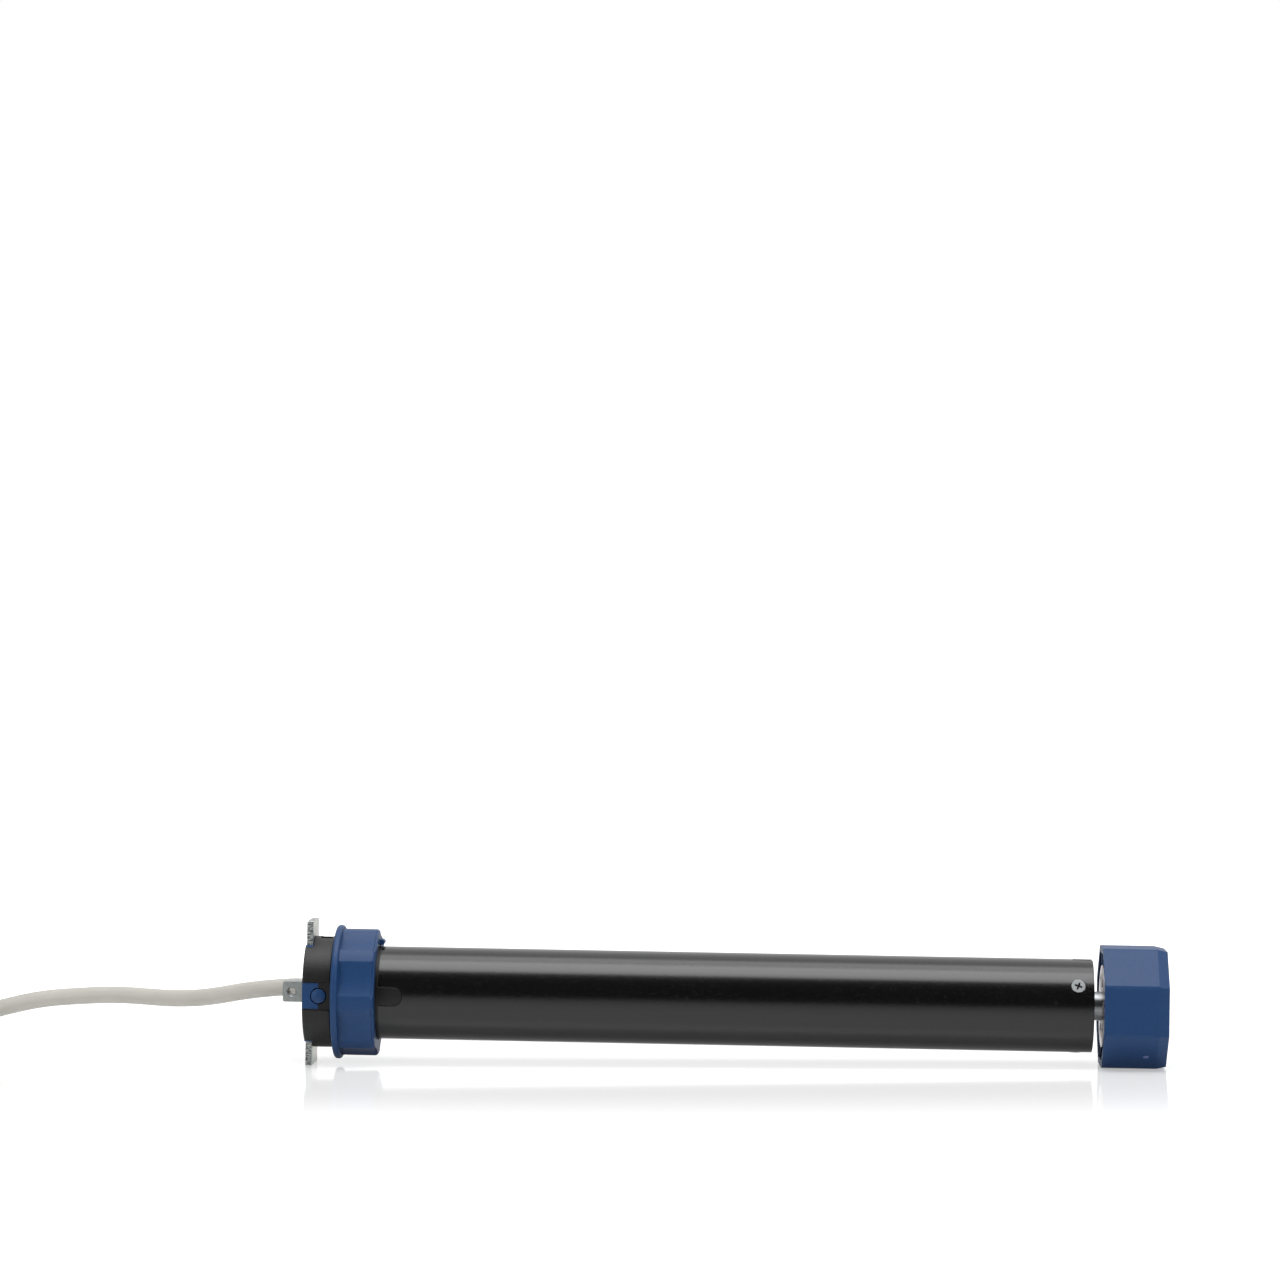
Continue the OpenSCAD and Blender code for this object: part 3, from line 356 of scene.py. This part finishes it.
# The bearing plate is punched from 3 mm steel sheet and zinc plated. Its flat sides are bright with
# a faint yellow and pink bloom, and its cut edges are dark and torn across the thickness.
def punched(material, bloom):
    """Dark torn metal on the edges, and a bloom of colour on the flat sides, which face along x."""
    edge_facing = 0.5
    flat_facing = 0.8
    tear_size = 0.0006
    tear_stretch = (0.35, 1, 1)
    bloom_size = 0.022
    nodes = material.node_tree.nodes
    links = material.node_tree.links
    shader = nodes["Principled BSDF"]
    plated = shader.inputs["Base Color"].links[0].from_socket
    place = nodes.new("ShaderNodeTexCoord")
    facing = nodes.new("ShaderNodeSeparateXYZ")
    links.new(place.outputs["Normal"], facing.inputs["Vector"])
    along = nodes.new("ShaderNodeMath")
    along.operation = "ABSOLUTE"
    links.new(facing.outputs["X"], along.inputs[0])
    flat_side = nodes.new("ShaderNodeMapRange")
    flat_side.inputs["From Min"].default_value = edge_facing
    flat_side.inputs["From Max"].default_value = flat_facing
    links.new(along.outputs[0], flat_side.inputs["Value"])
    across = nodes.new("ShaderNodeMapping")
    across.inputs["Scale"].default_value = tear_stretch
    links.new(place.outputs["Object"], across.inputs["Vector"])
    tears = nodes.new("ShaderNodeTexNoise")
    tears.inputs["Scale"].default_value = 1 / tear_size
    tears.inputs["Detail"].default_value = 4
    links.new(across.outputs["Vector"], tears.inputs["Vector"])
    torn = nodes.new("ShaderNodeValToRGB")
    torn.color_ramp.elements[0].position = 0.38
    torn.color_ramp.elements[0].color = paint(82, 85, 84)
    torn.color_ramp.elements[1].position = 0.62
    torn.color_ramp.elements[1].color = paint(196, 202, 200)
    links.new(tears.outputs["Fac"], torn.inputs["Fac"])
    drift = nodes.new("ShaderNodeTexNoise")
    drift.inputs["Scale"].default_value = 1 / bloom_size
    links.new(place.outputs["Object"], drift.inputs["Vector"])
    tint = nodes.new("ShaderNodeValToRGB")
    for spot, (position, colour) in enumerate(bloom):
        if spot > 1:
            tint.color_ramp.elements.new(position)
        tint.color_ramp.elements[spot].position = position
        tint.color_ramp.elements[spot].color = colour
    links.new(drift.outputs["Fac"], tint.inputs["Fac"])
    tinted = nodes.new("ShaderNodeMix")
    tinted.data_type = "RGBA"
    tinted.blend_type = "MULTIPLY"
    tinted.inputs["Factor"].default_value = 1
    links.new(plated, tinted.inputs["A"])
    links.new(tint.outputs["Color"], tinted.inputs["B"])
    sorted_out = nodes.new("ShaderNodeMix")
    sorted_out.data_type = "RGBA"
    links.new(flat_side.outputs["Result"], sorted_out.inputs["Factor"])
    links.new(torn.outputs["Color"], sorted_out.inputs["A"])
    links.new(tinted.outputs["Result"], sorted_out.inputs["B"])
    links.new(sorted_out.outputs["Result"], shader.inputs["Base Color"])


# The rims of its flat sides are painted paler, a painted highlight.
plate_zinc = finish("plate_zinc", paint(196, 200, 200), 0.36, metallic=1.0, grain=0.0006, relief=0.000014,
                    blotch=0.004, uneven=0.15, edge_highlight=0.9)
plate_bloom = ((0.4, paint(250, 255, 252)), (0.5, paint(255, 252, 236)), (0.6, paint(255, 238, 242)))
punched(plate_zinc, plate_bloom)
dress(plate_zinc, "bearing_plate")

# The carrier, the release button, the crown and the drive wheel are moulded in the same blue
# plastic, with a fine spark texture and softly rounded edges, painted paler as a painted highlight.
blue_plastic = finish("blue_plastic", paint(14, 54, 98), 0.46, grain=0.0009, relief=0.00007, blotch=0.0016,
                      uneven=0.15, edge=0.0004, shine=0.3, edge_highlight=0.4)
dress(blue_plastic, "plate_carrier", "release_button", "crown_ring")


# The drive wheel is moulded in the same blue plastic, and slides on the output shaft. It has a
# small pale scuff low on its front.
def scuffed(material, name, place, size, colour):
    """A copy of the material with one ragged pale scuff, whose half-sizes are given."""
    scratch_size = 0.0008
    rim_outer = 1.45
    rim_inner = 1.15
    strength = 0.55
    marked = material.copy()
    marked.name = name
    nodes = marked.node_tree.nodes
    links = marked.node_tree.links
    shader = nodes["Principled BSDF"]
    plain = shader.inputs["Base Color"].links[0].from_socket
    here = nodes.new("ShaderNodeTexCoord")
    on_scuff = nodes.new("ShaderNodeMapping")
    on_scuff.vector_type = "TEXTURE"
    on_scuff.inputs["Location"].default_value = place
    on_scuff.inputs["Scale"].default_value = size
    links.new(here.outputs["Object"], on_scuff.inputs["Vector"])
    reach = nodes.new("ShaderNodeVectorMath")
    reach.operation = "LENGTH"
    links.new(on_scuff.outputs["Vector"], reach.inputs[0])
    scratches = nodes.new("ShaderNodeTexNoise")
    scratches.inputs["Scale"].default_value = 1 / scratch_size
    links.new(here.outputs["Object"], scratches.inputs["Vector"])
    ragged = nodes.new("ShaderNodeMath")
    ragged.operation = "ADD"
    links.new(reach.outputs["Value"], ragged.inputs[0])
    links.new(scratches.outputs["Fac"], ragged.inputs[1])
    pale = nodes.new("ShaderNodeMapRange")
    pale.inputs["From Min"].default_value = rim_outer
    pale.inputs["From Max"].default_value = rim_inner
    pale.inputs["To Max"].default_value = strength
    links.new(ragged.outputs[0], pale.inputs["Value"])
    mixed = nodes.new("ShaderNodeMix")
    mixed.data_type = "RGBA"
    mixed.inputs["B"].default_value = colour
    links.new(pale.outputs["Result"], mixed.inputs["Factor"])
    links.new(plain, mixed.inputs["A"])
    links.new(mixed.outputs["Result"], shader.inputs["Base Color"])
    return marked


scuff_place = Vector((0.4185, -0.0182, -0.0224))
scuff_size = Vector((0.0017, 0.0011, 0.0011))
wheel_blue = scuffed(blue_plastic, "wheel_blue", scuff_place, scuff_size, paint(132, 142, 196))
dress(wheel_blue, "drive_wheel")

# The head and the gearbox cover are black glass-filled nylon, with a matt moulded skin. The head's
# plug fills the tube's left end, and the cover closes its right one.
# Its edges are painted paler, a painted highlight.
black_nylon = finish("black_nylon", paint(13, 13, 14), 0.44, grain=0.0009, relief=0.00007, edge=0.0005,
                     shine=0.32, edge_highlight=0.3, specks=0.2)
dress(black_nylon, "motor_head", "gearbox_cover", "encoder_wheel", "board_components")

# Where the head's flat meets its round skin, the step shows a fine dark line above and one below.
# These are painted shadow: matt black threads laid in the step's corners, where the shade falls.
gap_shadow_black = finish("gap_shadow_line_black", paint(4, 4, 4), 0.9, shine=0.0)
head_front_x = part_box("motor_head")[0][0]
disc_end_x = 0.0258
flat_y = -0.02577
flat_half = 0.00685
gap_shadow_d = 0.0004
gap_shadow_inset = 0.0002
gap_shadow_sides = 8
for side, word in ((1, "upper"), (-1, "lower")):
    ends = (head_front_x + gap_shadow_inset, disc_end_x - gap_shadow_inset)
    line = [Vector((x, flat_y, side * flat_half)) for x in ends]
    gap_shadow_thread = tube_along("gap_shadow_line_" + word, line, gap_shadow_d, gap_shadow_sides, gap_shadow_black)
    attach(gap_shadow_thread, "housing")

# The tube is drawn steel under a satin black coat, with the faint waviness of powder paint. The
# head's tongue and the gearbox's key sit in cut-outs at its ends, so neither can turn in it.
# Its edges are painted paler, a painted highlight.
tube_black = finish("satin_black_coat", paint(9, 9, 10), 0.22, grain=0.0012, relief=0.00001, blotch=0.05,
                    uneven=0.15, edge_highlight=0.6, specks=0.22)
dress(tube_black, "tube")


# The screws and the output shaft are plated steel. The screws are turned flush into the tube, and the
# cross recess of their heads is coloured darker towards its floor.
def darker_inward(material, name, outer_r, inner_r, dark_colour):
    """A copy of the material, its own colour at one radius from the motor's axis and dark at the other."""
    inward_darkened = material.copy()
    inward_darkened.name = name
    nodes = inward_darkened.node_tree.nodes
    links = inward_darkened.node_tree.links
    shader = nodes["Principled BSDF"]
    own_colour = shader.inputs["Base Color"].links[0].from_socket
    here = nodes.new("ShaderNodeTexCoord")
    from_axis = nodes.new("ShaderNodeMapping")
    from_axis.inputs["Scale"].default_value = (0, 1, 1)
    links.new(here.outputs["Object"], from_axis.inputs["Vector"])
    distance = nodes.new("ShaderNodeVectorMath")
    distance.operation = "LENGTH"
    links.new(from_axis.outputs["Vector"], distance.inputs[0])
    sunk = nodes.new("ShaderNodeMapRange")
    sunk.inputs["From Min"].default_value = outer_r
    sunk.inputs["From Max"].default_value = inner_r
    links.new(distance.outputs["Value"], sunk.inputs["Value"])
    mixed = nodes.new("ShaderNodeMix")
    mixed.data_type = "RGBA"
    mixed.inputs["B"].default_value = dark_colour
    links.new(sunk.outputs["Result"], mixed.inputs["Factor"])
    links.new(own_colour, mixed.inputs["A"])
    links.new(mixed.outputs["Result"], shader.inputs["Base Color"])
    return inward_darkened


# Its edges are painted paler, a painted highlight.
screw_zinc = finish("screw_zinc", paint(160, 163, 165), 0.32, metallic=1.0, relief=0.00001, edge=0.0001,
                    edge_highlight=0.4)
dress(screw_zinc, "output_shaft")
screw_head_r = 0.0222
recess_r = 0.0217
# The cross recess is coloured darker towards its floor.
recess_dark_zinc = darker_inward(screw_zinc, "screw_zinc_darker_recess", screw_head_r, recess_r, paint(34, 26, 26))
dress(recess_dark_zinc, "tube_screws")

# The insert in the wheel's open face is stamped from galvanised sheet. The clip that holds the wheel on the
# shaft's end is spring steel, and here takes the insert's finish.
sheet_steel = finish("insert_sheet_steel", paint(222, 216, 220), 0.34, metallic=1.0, grain=0.0012,
                     relief=0.000015, blotch=0.004, uneven=0.12)
dress(sheet_steel, "wheel_insert", "retaining_clip")

# Inside the tube: laminations, bearings, shields and gears of steel and alloy, oiled and dark
# where they run, with copper windings and the brake's lining.
dark_steel = finish("oiled_steel", paint(112, 115, 118), 0.35, metallic=1.0, grain=0.0006, relief=0.00001)
dress(dark_steel, "gearbox_plate", "ring_gear", "carrier_1", "carrier_2", "output_bearing", "rotor_bearings",
      "rotor_shaft", "rotor_core", "brake_housing", "brake_magnet", "brake_plate")
dress(dark_steel, *("planet_" + stage + which for stage in "123" for which in "abc"))
laminated = finish("stator_laminations", paint(96, 98, 100), 0.45, metallic=0.9, grain=0.0005, relief=0.00004,
                   stretch=(4, 0.1, 0.1))
dress(laminated, "stator_core")
cast_alloy = finish("cast_alloy", paint(168, 170, 172), 0.48, metallic=0.9, grain=0.0007, relief=0.00004)
dress(cast_alloy, "rear_shield", "front_shield", "capacitor")
copper_wire = finish("enamelled_copper", paint(176, 98, 52), 0.32, metallic=0.8, grain=0.0006, relief=0.00008,
                     stretch=(0.2, 1, 1))
dress(copper_wire, "stator_windings", "brake_coil", "lead_wires")
lining = finish("brake_lining", paint(60, 56, 52), 0.8, grain=0.0007, relief=0.00006)
dress(lining, "brake_disc")
white_nylon = finish("white_nylon", paint(222, 220, 212), 0.5, grain=0.0006)
dress(white_nylon, "board_tray", "encoder_pinion")
board_green = finish("board_green", paint(28, 96, 56), 0.32, grain=0.0008, relief=0.000008)
dress(board_green, "circuit_board")


# Two coil springs of steel wire: one returns the release button, the other closes the brake. Each
# stands on a fixed end under the piece that moves, and is drawn at one length.
def coil_spring(name, foot, axis, sideways, radius, wire, length, turns):
    """A helix of round wire that stands on its foot, with its first turn towards sideways."""
    steps = 24
    wire_sides = 10
    points = []
    for i in range(turns * steps + 1):
        turn = 2 * pi * i / steps
        rise = wire / 2 + (length - wire) * i / (turns * steps)
        centre = foot + rise * axis
        points.append(centre + radius * cos(turn) * sideways + radius * sin(turn) * axis.cross(sideways))
    return tube_along(name, points, wire, wire_sides, spring_steel)


spring_steel = finish("spring_steel", paint(150, 153, 156), 0.28, metallic=1.0, grain=0.0003, relief=0.000004)
button_foot = Vector((0.0199, -0.0152666, 0))
button_spring_length = 0.0048
button_helix = coil_spring("button_return_spring", button_foot, Vector((0, -1, 0)), Vector((1, 0, 0)),
                           radius=0.0026, wire=0.0008, length=button_spring_length, turns=4)
brake_foot = Vector((0.2985, 0, 0))
brake_spring_length = 0.0063
brake_helix = coil_spring("brake_closing_spring", brake_foot, Vector((1, 0, 0)), Vector((0, 1, 0)),
                          radius=0.006, wire=0.0012, length=brake_spring_length, turns=3)
for spring, node in ((button_helix, "button_spring"), (brake_helix, "brake_spring")):
    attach(spring, "housing")
    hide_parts(node)
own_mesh(button_helix)
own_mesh(brake_helix)

# The table is a white, faintly glossy top that runs out of view. Near the motor the real surface
# shows, with its faint mirror image, and away from it on every side it fades into plain white.
table_half = 12
table_x = 0.2
table_y = 2.0
table_gap = 0.00005
table_mesh = bpy.data.meshes.new("white_table")
mesh_builder = bmesh.new()
table_middle = Vector((table_x, table_y, table_height(table_x)))
corners = [table_middle + a * table_half * table_along + Vector((0, b * table_half, 0))
           for a, b in ((-1, -1), (1, -1), (1, 1), (-1, 1))]
mesh_builder.faces.new([mesh_builder.verts.new(p - table_gap * table_up) for p in corners])
mesh_builder.to_mesh(table_mesh)
mesh_builder.free()
table = bpy.data.objects.new("white_table", table_mesh)
scene.collection.objects.link(table)
near_middle = (0.15, 0, 0)
near_size = (0.6, 0.2, 1)
fade_start = 0.5
fade_end = 2.0
glow_near = 0.24
glow_mirrored = 0.12
glow_through = 0.72
table_white = bpy.data.materials.new("table_white")
table_white.use_nodes = True
table_nodes = table_white.node_tree.nodes
table_links = table_white.node_tree.links
table_shader = table_nodes["Principled BSDF"]
table_shader.inputs["Base Color"].default_value = (0.92, 0.92, 0.92, 1)
table_shader.inputs["Roughness"].default_value = 0.08
table_shader.inputs["Specular IOR Level"].default_value = 0.6
glow = table_nodes.new("ShaderNodeEmission")
glow.inputs["Color"].default_value = (1, 1, 1, 1)
glow.inputs["Strength"].default_value = 1.5
table_place = table_nodes.new("ShaderNodeTexCoord")
from_motor = table_nodes.new("ShaderNodeMapping")
from_motor.vector_type = "TEXTURE"
from_motor.inputs["Location"].default_value = near_middle
from_motor.inputs["Scale"].default_value = near_size
table_links.new(table_place.outputs["Object"], from_motor.inputs["Vector"])
reach = table_nodes.new("ShaderNodeVectorMath")
reach.operation = "LENGTH"
table_links.new(from_motor.outputs["Vector"], reach.inputs[0])
glow_seen = table_nodes.new("ShaderNodeMapRange")
glow_seen.interpolation_type = "SMOOTHSTEP"
glow_seen.inputs["From Min"].default_value = fade_start
glow_seen.inputs["From Max"].default_value = fade_end
glow_seen.inputs["To Min"].default_value = glow_near
glow_seen.inputs["To Max"].default_value = 1.0
table_links.new(reach.outputs["Value"], glow_seen.inputs["Value"])

# The camera sees the table glow by that share, and mirror images and looks through anything clear
# see it glow by shares of their own. All other rays find the real surface.
ray = table_nodes.new("ShaderNodeLightPath")
seen_through = table_nodes.new("ShaderNodeMath")
seen_through.operation = "MULTIPLY"
seen_through.inputs[1].default_value = glow_through
seen_mirrored = table_nodes.new("ShaderNodeMath")
seen_mirrored.operation = "MULTIPLY_ADD"
seen_mirrored.inputs[1].default_value = glow_mirrored
seen = table_nodes.new("ShaderNodeMath")
seen.operation = "MULTIPLY_ADD"
blend = table_nodes.new("ShaderNodeMixShader")
table_links.new(ray.outputs["Is Transmission Ray"], seen_through.inputs[0])
table_links.new(ray.outputs["Is Glossy Ray"], seen_mirrored.inputs[0])
table_links.new(seen_through.outputs[0], seen_mirrored.inputs[2])
table_links.new(ray.outputs["Is Camera Ray"], seen.inputs[0])
table_links.new(glow_seen.outputs["Result"], seen.inputs[1])
table_links.new(seen_mirrored.outputs[0], seen.inputs[2])
table_links.new(seen.outputs[0], blend.inputs["Fac"])
table_links.new(table_shader.outputs["BSDF"], blend.inputs[1])
table_links.new(glow.outputs["Emission"], blend.inputs[2])
table_links.new(blend.outputs["Shader"], table_nodes["Material Output"].inputs["Surface"])
table_mesh.materials.append(table_white)

# The room is plain white to the camera and gives an even fill. Mirror images find it white behind
# the motor and dark in front, on the camera's side, which gives the tube its dark band.
room_fill = 0.29
room_dark = 0.02
dark_to = -0.45
white_from = 0.25
world = bpy.data.worlds.new("white_room")
world.use_nodes = True
scene.world = world
world_nodes = world.node_tree.nodes
world_links = world.node_tree.links
backdrop = world_nodes["Background"]
backdrop.inputs["Color"].default_value = (1, 1, 1, 1)
world_ray = world_nodes.new("ShaderNodeLightPath")
direction = world_nodes.new("ShaderNodeTexCoord")
heading = world_nodes.new("ShaderNodeSeparateXYZ")
world_links.new(direction.outputs["Generated"], heading.inputs["Vector"])
mirrored_room = world_nodes.new("ShaderNodeMapRange")
mirrored_room.interpolation_type = "SMOOTHSTEP"
mirrored_room.inputs["From Min"].default_value = dark_to
mirrored_room.inputs["From Max"].default_value = white_from
mirrored_room.inputs["To Min"].default_value = room_dark
mirrored_room.inputs["To Max"].default_value = 1.0
world_links.new(heading.outputs["Y"], mirrored_room.inputs["Value"])
clear_view = world_nodes.new("ShaderNodeMath")
clear_view.operation = "MAXIMUM"
world_links.new(world_ray.outputs["Is Glossy Ray"], clear_view.inputs[0])
world_links.new(world_ray.outputs["Is Transmission Ray"], clear_view.inputs[1])
room_light = world_nodes.new("ShaderNodeMix")
room_light.inputs["A"].default_value = room_fill
world_links.new(clear_view.outputs[0], room_light.inputs["Factor"])
world_links.new(mirrored_room.outputs["Result"], room_light.inputs["B"])
white_to_camera = world_nodes.new("ShaderNodeMath")
white_to_camera.operation = "MAXIMUM"
world_links.new(room_light.outputs["Result"], white_to_camera.inputs[0])
world_links.new(world_ray.outputs["Is Camera Ray"], white_to_camera.inputs[1])
world_links.new(white_to_camera.outputs[0], backdrop.inputs["Strength"])


# One broad softbox hangs overhead, a little towards the camera, so that the tube carries one soft
# band of light. A weaker one behind it rims the top, and two at the front lift the blue faces.
def soft_light(name, place, aim, width, depth, power):
    """A rectangular lamp at a place in metres, turned to its aim, with a power in watts."""
    lamp = bpy.data.lights.new(name, "AREA")
    lamp.shape = "RECTANGLE"
    lamp.size = width
    lamp.size_y = depth
    lamp.energy = power
    stand = bpy.data.objects.new(name, lamp)
    stand.location = place
    stand.rotation_euler = (Vector(aim) - Vector(place)).to_track_quat("-Z", "Y").to_euler()
    scene.collection.objects.link(stand)


soft_light("overhead_softbox", place=(0.2, -0.28, 1.3), aim=(0.2, 0, 0), width=1.3, depth=0.75, power=16)
soft_light("overhead_spill", place=(0.2, 0.32, 1.3), aim=(0.2, 0, 0), width=1.3, depth=0.42, power=4)
soft_light("front_left_softbox", place=(-1.1, -1.4, 0.6), aim=(0.15, 0, 0), width=0.9, depth=0.9, power=9)
soft_light("front_right_softbox", place=(1.4, -1.2, 0.7), aim=(0.25, 0, 0), width=0.8, depth=0.8, power=7)
